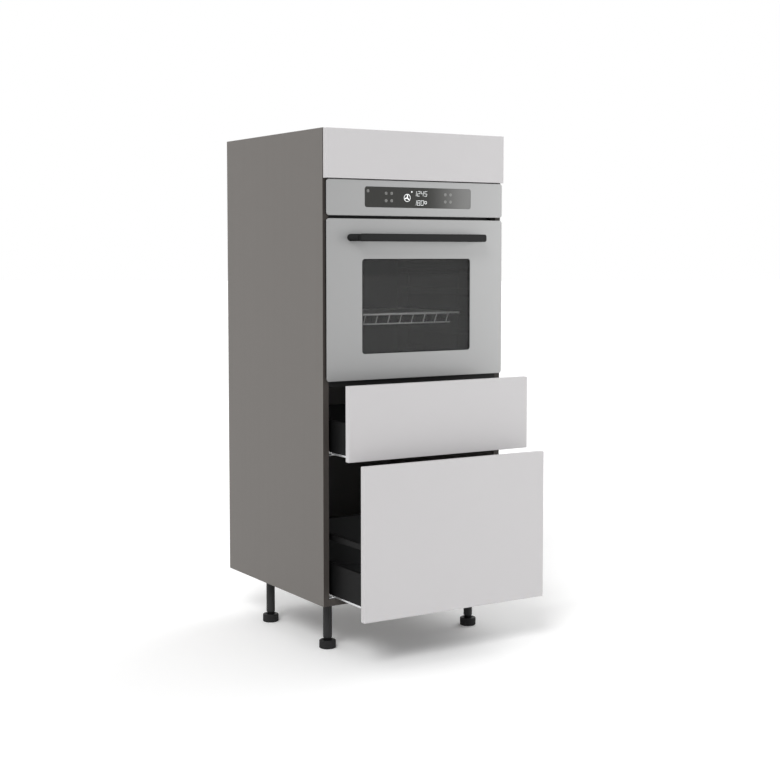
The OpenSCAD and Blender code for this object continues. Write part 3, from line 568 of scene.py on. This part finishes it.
width, proud = sheetSettings["sealWidth"], sheetSettings["sealProud"]
rims = [(window, windowCorner), (grow(window, -width), windowCorner - width)]
bm = bmesh.new()
addSheet(bm, rims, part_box("door_window")[0].y - proud, proud, segments)
finishPiece(bm, "windowSeal", "blackPlastic", "oven_door")

low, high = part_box("control_panel")
gap = sheetSettings["displayGap"]
opening = grow(frontOf("display_glass"), gap)
rims = [(frontOf("control_panel"), sheetSettings["corner"]), (opening, sheetSettings["displayCorner"])]
bm = bmesh.new()
addSheet(bm, rims, low.y, high.y - low.y, segments)
outer = [e for e in frontRim(bm, low.y) if not all(inside(v.co, grow(opening, gap)) for v in e.verts)]
roundOff(bm, outer, sheetSettings["edge"], sheetSettings["edgeSegments"])
finishPiece(bm, "controlSheet", "faceSteel", "housing", ["control_panel"])
print("steel faces made")


# The handle

handleSettings = {"end": 0.0068, "endSegments": 6, "edge": 0.0034, "edgeSegments": 4}


def runsBack(edge):
    return abs(edge.verts[0].co.y - edge.verts[1].co.y) > tiny


low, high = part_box("handle_bar")
bm = bmesh.new()
blockBetween(bm, low, high)
ends = [e for e in bm.edges if runsBack(e)]
roundOff(bm, ends, handleSettings["end"], handleSettings["endSegments"])
rest = [e for e in bm.edges if not runsBack(e)]
roundOff(bm, rest, handleSettings["edge"], handleSettings["edgeSegments"])
finishPiece(bm, "handleBar", "handlePowder", "oven_door", ["handle_bar"])
print("handle made")


# The legs: ribbed feet turned with their spindles, and tubes on a narrow collar, made near black as a painted
# shade under the tubes

legSettings = {
    "feet": {"foot_front_left": ("footFrontLeft", "foot_fl"),
             "foot_front_right": ("footFrontRight", "foot_fr"),
             "foot_rear_left": ("footRearLeft", "foot_rl"),
             "foot_rear_right": ("footRearRight", "foot_rr")},
    "radius": 0.023,
    "height": 0.0235,
    "lowerEdge": [(0.0015, 0), (0.0004, 0.0005), (0, 0.0016)],      # in from the side and up from the floor
    "upperEdge": [(0, 0.002), (0.0006, 0.0006), (0.002, 0)],        # in from the side and down from the top
    "rib": 0.0008,
    "ribs": 36,
    "ribSteps": 4,                # steps of the turning for each rib: two stand proud
    "hole": (0.014, 0.015),       # radius of the recess and height of its floor
    "holeEdge": 0.0006,
    "spindle": 0.0059,
    "spindleSteps": 20,
    "spindleTip": 0.0015,
    "spindleSink": 0.001,
    "thread": 0.0006,
    "pitch": 0.002,
    "tube": (0.013, 0.0105, 0.0063),      # outer radius, bore, spindle's hole
    "tubeSteps": 48,
    "tubeEdge": 0.0008,
    "neck": (0.0113, 0.0305),     # radius and top of the neck
    "plug": 0.022,
}


def footMiddle(node):
    low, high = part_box(node)
    return (low.x + high.x) / 2, (low.y + high.y) / 2


def footOutline(settings):
    r, h, edge = settings["radius"], settings["height"], settings["holeEdge"]
    hole, floor = settings["hole"]
    lower = [(r - x, z) for x, z in settings["lowerEdge"]]
    upper = [(r - x, h - z) for x, z in settings["upperEdge"]]
    return [(0, 0), *lower, *upper, (hole + edge, h), (hole, h - edge), (hole, floor), (0, floor)]


def spindleOutline(settings, low, high):
    r, pitch = settings["spindle"], settings["pitch"]
    root = r - settings["thread"]
    outline = [(0, low), (root, low)]
    for k in range(int((high - low - pitch) / pitch)):
        z = low + pitch / 2 + k * pitch
        outline += [(root, z), (r, z + pitch / 2)]
    return outline + [(r - settings["spindleTip"], high), (0, high)]


def addRibs(bm, x, y, settings):
    steps = settings["ribs"] * settings["ribSteps"]
    for v in bm.verts:
        reach = math.hypot(v.co.x - x, v.co.y - y)
        step = round(math.atan2(v.co.y - y, v.co.x - x) / math.tau * steps) % settings["ribSteps"]
        if abs(reach - settings["radius"]) < 10 * tiny and step < settings["ribSteps"] / 2:
            v.co.x += (v.co.x - x) / reach * settings["rib"]
            v.co.y += (v.co.y - y) / reach * settings["rib"]


for node, (name, body) in legSettings["feet"].items():
    x, y = footMiddle(node)
    spindleLow = legSettings["hole"][1] - legSettings["spindleSink"]
    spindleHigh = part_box(node)[1].z
    bm = bmesh.new()
    turn(bm, x, y, footOutline(legSettings), legSettings["ribs"] * legSettings["ribSteps"])
    addRibs(bm, x, y, legSettings)
    turn(bm, x, y, spindleOutline(legSettings, spindleLow, spindleHigh), legSettings["spindleSteps"])
    finishPiece(bm, name, "footPlastic", body, [node])

low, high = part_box("leg_tubes")
outer, bore, eye = legSettings["tube"]
neck, neckTop = legSettings["neck"]
edge, plug = legSettings["tubeEdge"], low.z + legSettings["plug"]
tubeOutline = [(eye, neckTop), (outer - edge, neckTop), (outer, neckTop + edge), (outer, high.z),
               (bore, high.z), (bore, plug), (eye, plug)]
collarOutline = [(eye, low.z), (neck, low.z), (neck, neckTop), (eye, neckTop)]
tubes = bmesh.new()
paintedShadeCollars = bmesh.new()
for node in legSettings["feet"]:
    x, y = footMiddle(node)
    turn(tubes, x, y, tubeOutline, legSettings["tubeSteps"], closed=True)
    turn(paintedShadeCollars, x, y, collarOutline, legSettings["tubeSteps"], closed=True)
finishPiece(tubes, "legTubes", "legPlastic", "housing", ["leg_tubes"])
# the collars are near black as a painted shade in the recess under the tubes
finishPiece(paintedShadeCollars, "legCollarsPaintedShade", "blackPlastic", "housing")
print("legs made")


# Small screws with a domed head and a recess

screwSettings = {
    "outline": [(0, 0.0009), (0.0007, 0.0009), (0.0011, 0.0019), (0.0021, 0.0018), (0.0031, 0.0013),
                (0.0037, 0.0005), (0.0038, 0), (0, 0)],
    "steps": 16,
    "rearPanel": {"x": (0.09, 0.27), "z": (0.7805, 1.3115), "side": (0.9, 1.06, 1.2)},
    "frontFrame": [(0.2665, 0.86), (0.2665, 1.11), (0.18, 1.206)],
    "socket": 0.022,                  # from the leg's middle, both ways
    "socketPlate": 0.004,
    "terminal": 0.008,                # in from the corners of the terminal box
    "terminalSink": 0.0008,
    "bracketX": 0.25,
    "bracketUp": (0.011, 0.037),      # above the drawer's base
    "bracketPlate": 0.002,
}


def addScrews(bm, shape, places, way):
    turned = Vector((0, 0, 1)).rotation_difference(Vector(way)).to_matrix().to_4x4()
    for place in places:
        bm.from_mesh(shape)
        bm.verts.ensure_lookup_table()
        added = bm.verts[-len(shape.vertices):]
        bmesh.ops.transform(bm, matrix=Matrix.Translation(place) @ turned, verts=added)


bm = bmesh.new()
turn(bm, 0, 0, screwSettings["outline"], screwSettings["steps"])
screwShape = bpy.data.meshes.new("screwShape")
bm.to_mesh(screwShape)
bm.free()

bm = bmesh.new()
rear, y = screwSettings["rearPanel"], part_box("oven_rear_panel")[1].y
places = [(x * side, y, z) for x in rear["x"] for side in bothSides for z in rear["z"]]
places += [(rear["x"][1] * side, y, z) for side in bothSides for z in rear["side"]]
addScrews(bm, screwShape, places, (0, 1, 0))

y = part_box("oven_front_frame")[0].y
places = [(x * side, y, z) for x, z in screwSettings["frontFrame"] for side in bothSides]
addScrews(bm, screwShape, places, (0, -1, 0))

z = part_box("leg_sockets")[1].z - screwSettings["socketPlate"]
corners = [(i * screwSettings["socket"], j * screwSettings["socket"]) for i in bothSides for j in bothSides]
middles = [footMiddle(node) for node in legSettings["feet"]]
addScrews(bm, screwShape, [(x + dx, y + dy, z) for x, y in middles for dx, dy in corners], (0, 0, -1))

low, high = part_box("mains_terminal")
inset, y = screwSettings["terminal"], high.y - screwSettings["terminalSink"]
places = [(low.x + inset, y, low.z + inset), (high.x - inset, y, high.z - inset)]
addScrews(bm, screwShape, places, (0, 1, 0))
finishPiece(bm, "housingScrews", "zinc", "housing")

for drawer, name in (("top_drawer", "topDrawerScrews"), ("deep_drawer", "deepDrawerScrews")):
    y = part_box(drawer + "_brackets")[0].y + screwSettings["bracketPlate"]
    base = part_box(drawer + "_base")[1].z
    x = screwSettings["bracketX"]
    places = [(x * side, y, base + up) for side in bothSides for up in screwSettings["bracketUp"]]
    bm = bmesh.new()
    addScrews(bm, screwShape, places, (0, 1, 0))
    finishPiece(bm, name, "zinc", drawer)
bpy.data.meshes.remove(screwShape)
print("screws made")


# Folded ends in front of the cabinet runners

noseSettings = {
    "depth": 0.0012,
    "wall": 0.0014,
    "fold": [(0.0008, 0.0137), (0.0037, 0.006), (0.0081, 0.0085), (0.0112, 0.0022), (0.0185, 0.0012)],
}

depth = noseSettings["depth"]
bm = bmesh.new()
for node in ("top_runner_rails", "deep_runner_rails"):
    low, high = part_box(node)
    for side in bothSides:
        places = [(side * (high.x - x), low.y - depth, low.z + z) for x, z in noseSettings["fold"]]
        verts = [bm.verts.new(place) for place in places]
        edges = [bm.edges.new(pair) for pair in zip(verts, verts[1:])]
        grown = bmesh.ops.extrude_edge_only(bm, edges=edges)["geom"]
        bmesh.ops.translate(bm, vec=(0, depth, 0), verts=onlyVerts(grown))
bmesh.ops.recalc_face_normals(bm, faces=list(bm.faces))
bmesh.ops.solidify(bm, geom=list(bm.faces), thickness=noseSettings["wall"])
finishPiece(bm, "runnerNoses", "paleNylon", "housing", smooth=False)
print("runner ends made")


# The display's figures and signs

displaySettings = {
    "proud": 0.00025,
    "digitHeight": 0.0142,
    "digitWidth": 0.0086,
    "digitPitch": 0.0119,
    "stroke": 0.0009,
    "strokeGap": 0.25,      # left free at a bar's ends, as a share of its stroke
    "slant": 0.16,
    "rows": [("1245", -0.0132, 1.2848), ("180", -0.0132, 1.2588)],
    "rings": [      # middle, radius, wall and steps
        ((0.0272, 1.2672), 0.0038, 0.0012, 28),       # the degree
        ((-0.0192, 1.2965), 0.00154, 0.0016, 28),     # a dot
        ((-0.0346, 1.2795), 0.0102, 0.0015, 40),      # round the fan sign
        ((-0.0346, 1.2795), 0.0016, 0.0022, 20),      # its hub
    ],
    "fan": (-0.0346, 1.2795),
    "blades": 3,
    "blade": {"radius": 0.0031, "segments": 20, "narrow": 0.62, "aside": 0.001, "out": 0.0054},
    "dimSign": (-0.1635, 1.2965, 0.0048),      # middle and size
    "dimColumns": (-0.1045, -0.0862, 0.095, 0.1134),
    "dimRows": (1.291, 1.2705),
    "dimSize": 0.0046,
    "dimRings": [(0.75, 0.0013, 20), (0.22, 0.0012, 12)],      # share of the size, wall and steps
}
digitBars = {"0": "abcdef", "1": "bc", "2": "abged", "4": "fgbc", "5": "afgcd", "8": "abcdefg"}


# A figure's bars go by letters: a, b, c, d, e and f run round it from the top, and g crosses its middle.
def barCorners(bar, settings):
    width, height, stroke = settings["digitWidth"], settings["digitHeight"], settings["stroke"]
    half = height / 2
    gap = stroke * settings["strokeGap"]
    upright = {"f": (0, half), "b": (width - stroke, half), "e": (0, 0), "c": (width - stroke, 0)}
    if bar in upright:
        x, z = upright[bar]
        return (x, z + gap), (x + stroke, z + half - gap)
    z = {"a": height - stroke, "g": half - stroke / 2, "d": 0}[bar]
    return (gap, z), (width - gap, z + stroke)


def addDigit(bm, digit, x, y, z, settings):
    for bar in digitBars[digit]:
        (x0, z0), (x1, z1) = barCorners(bar, settings)
        verts = blockBetween(bm, (x0, 0, z0), (x1, settings["proud"], z1))
        for v in verts:
            v.co.x += v.co.z * settings["slant"]
        bmesh.ops.translate(bm, vec=(x, y, z), verts=verts)


# A flat ring round an axis along Y.
def addRing(bm, x, y, z, radius, wall, steps, depth):
    verts = bmesh.ops.create_grid(bm, x_segments=1, y_segments=1, size=0.5)["verts"]
    bmesh.ops.scale(bm, vec=(wall, depth, 1), verts=verts)
    bmesh.ops.translate(bm, vec=(x + radius, y + depth / 2, z), verts=verts)
    face = verts[0].link_faces[0]
    edges = list(face.edges)
    bmesh.ops.delete(bm, geom=[face], context="FACES_ONLY")
    bmesh.ops.spin(bm, geom=[*verts, *edges], cent=(x, y, z), axis=(0, 1, 0), angle=math.tau, steps=steps,
                   use_merge=True)


def addBlade(bm, angle, settings):
    verts = bmesh.ops.create_circle(bm, cap_ends=True, segments=settings["segments"],
                                    radius=settings["radius"])["verts"]
    bmesh.ops.scale(bm, vec=(settings["narrow"], 1, 1), verts=verts)
    bmesh.ops.rotate(bm, cent=(0, 0, 0), matrix=Matrix.Rotation(math.radians(90), 3, "X"), verts=verts)
    bmesh.ops.translate(bm, vec=(settings["aside"], 0, settings["out"]), verts=verts)
    bmesh.ops.rotate(bm, cent=(0, 0, 0), matrix=Matrix.Rotation(angle, 3, "Y"), verts=verts)
    return verts


proud = displaySettings["proud"]
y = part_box("display_glass")[0].y - proud
bm = bmesh.new()
for text, x, z in displaySettings["rows"]:
    for i, digit in enumerate(text):
        addDigit(bm, digit, x + i * displaySettings["digitPitch"], y, z, displaySettings)
for (x, z), radius, wall, steps in displaySettings["rings"]:
    addRing(bm, x, y, z, radius, wall, steps, proud)
x, z = displaySettings["fan"]
for k in range(displaySettings["blades"]):
    blade = addBlade(bm, math.tau * k / displaySettings["blades"], displaySettings["blade"])
    back = thicken(bm, list(blade[0].link_faces), proud)
    bmesh.ops.translate(bm, vec=(x, y, z), verts=blade + back)
finishPiece(bm, "displayFigures", "litWhite", "housing", smooth=False)

columns, rows, size = displaySettings["dimColumns"], displaySettings["dimRows"], displaySettings["dimSize"]
signs = [displaySettings["dimSign"], *((x, z, size) for x in columns for z in rows)]
bm = bmesh.new()
for x, z, size in signs:
    for share, wall, steps in displaySettings["dimRings"]:
        addRing(bm, x, y, z, size * share, wall, steps, proud)
finishPiece(bm, "displaySigns", "litDim", "housing", smooth=False)
print("display made")


# The floor, the white surroundings and the lamps

stageSettings = {
    "floorReach": 60,
    "floorDrop": 0.0001,              # keeps the floor just clear of the feet
    "floorColour": (0.8, 0.8, 0.8),
    "floorSeen": (1.0, 1.0, 1.0),     # the floor's colour as the camera and reflections see it
    "floorLift": 0.09,                # its glow, for the camera and reflections only
    "worldLight": 0.69,
    "worldSeen": 1.0,
    "sun": {"from": (-0.88, -0.84, 1.0), "angle": 20, "strength": 1.42},      # the main light, front left
    "fill": {"from": (1.0, 0.35, 0.8), "angle": 40, "strength": 0.6},         # a weaker one from the right
    "glow": {"place": (3.135, -2.62, 1.1), "aim": (0.1, -0.3, 1.0), "size": (1.6, 2.6), "power": 62},
}
white = (1, 1, 1, 1)


# 1 for rays that reach the camera directly, by reflection or through glass, and 0 for those that light.
def seenRays(tree):
    rays = tree.nodes.new("ShaderNodeLightPath")
    seen = rays.outputs["Is Camera Ray"]
    for kind in ("Is Glossy Ray", "Is Transmission Ray"):
        either = tree.nodes.new("ShaderNodeMath")
        either.operation = "MAXIMUM"
        tree.links.new(seen, either.inputs[0])
        tree.links.new(rays.outputs[kind], either.inputs[1])
        seen = either.outputs[0]
    return seen


def floorFinish(settings):
    material, tree, shader = startMaterial("floorPaint")
    shader.inputs["Roughness"].default_value = 1.0
    shader.inputs["Specular IOR Level"].default_value = 0.0
    seen = seenRays(tree)
    tint(tree, shader, seen, settings["floorColour"], settings["floorSeen"], fullRange)
    lift = tree.nodes.new("ShaderNodeEmission")
    tree.links.new(spread(tree, seen, 0, settings["floorLift"], fullRange), lift.inputs["Strength"])
    both = tree.nodes.new("ShaderNodeAddShader")
    output = next(n for n in tree.nodes if n.type == "OUTPUT_MATERIAL")
    tree.links.new(shader.outputs["BSDF"], both.inputs[0])
    tree.links.new(lift.outputs["Emission"], both.inputs[1])
    tree.links.new(both.outputs["Shader"], output.inputs["Surface"])
    return material


def addFloor(settings):
    bm = bmesh.new()
    bmesh.ops.create_grid(bm, x_segments=1, y_segments=1, size=settings["floorReach"])
    bmesh.ops.translate(bm, vec=(0, 0, -settings["floorDrop"]), verts=list(bm.verts))
    mesh = bpy.data.meshes.new("floor")
    bm.to_mesh(mesh)
    bm.free()
    mesh.materials.append(floorFinish(settings))
    floor = addToScene("floor", mesh)


def addWorld(settings):
    world = bpy.data.worlds.new("studio")
    bpy.context.scene.world = world
    world.use_nodes = True
    tree = world.node_tree
    tree.nodes.clear()
    output = tree.nodes.new("ShaderNodeOutputWorld")
    background = tree.nodes.new("ShaderNodeBackground")
    background.inputs["Color"].default_value = white
    strength = spread(tree, seenRays(tree), settings["worldLight"], settings["worldSeen"], fullRange)
    tree.links.new(strength, background.inputs["Strength"])
    tree.links.new(background.outputs["Background"], output.inputs["Surface"])


def addLamp(name, data, way):
    lamp = addToScene(name, data)
    lamp.rotation_euler = Vector(way).to_track_quat("-Z", "Y").to_euler()
    return lamp


def addSun(name, settings):
    data = bpy.data.lights.new(name, "SUN")
    data.angle = math.radians(settings["angle"])
    data.energy = settings["strength"]
    addLamp(name, data, -Vector(settings["from"]))


# A tall soft panel on the right, which shows in glossy surfaces only.
def addGlow(settings):
    data = bpy.data.lights.new("glow", "AREA")
    data.shape = "RECTANGLE"
    data.size, data.size_y = settings["size"]
    data.energy = settings["power"]
    lamp = addLamp("glow", data, Vector(settings["aim"]) - Vector(settings["place"]))
    lamp.location = settings["place"]
    lamp.visible_diffuse = False
    lamp.visible_camera = False


addFloor(stageSettings)
addWorld(stageSettings)
addSun("sun", stageSettings["sun"])
addSun("fill", stageSettings["fill"])
addGlow(stageSettings["glow"])
bpy.context.scene.view_settings.view_transform = "Standard"
print("stage set")
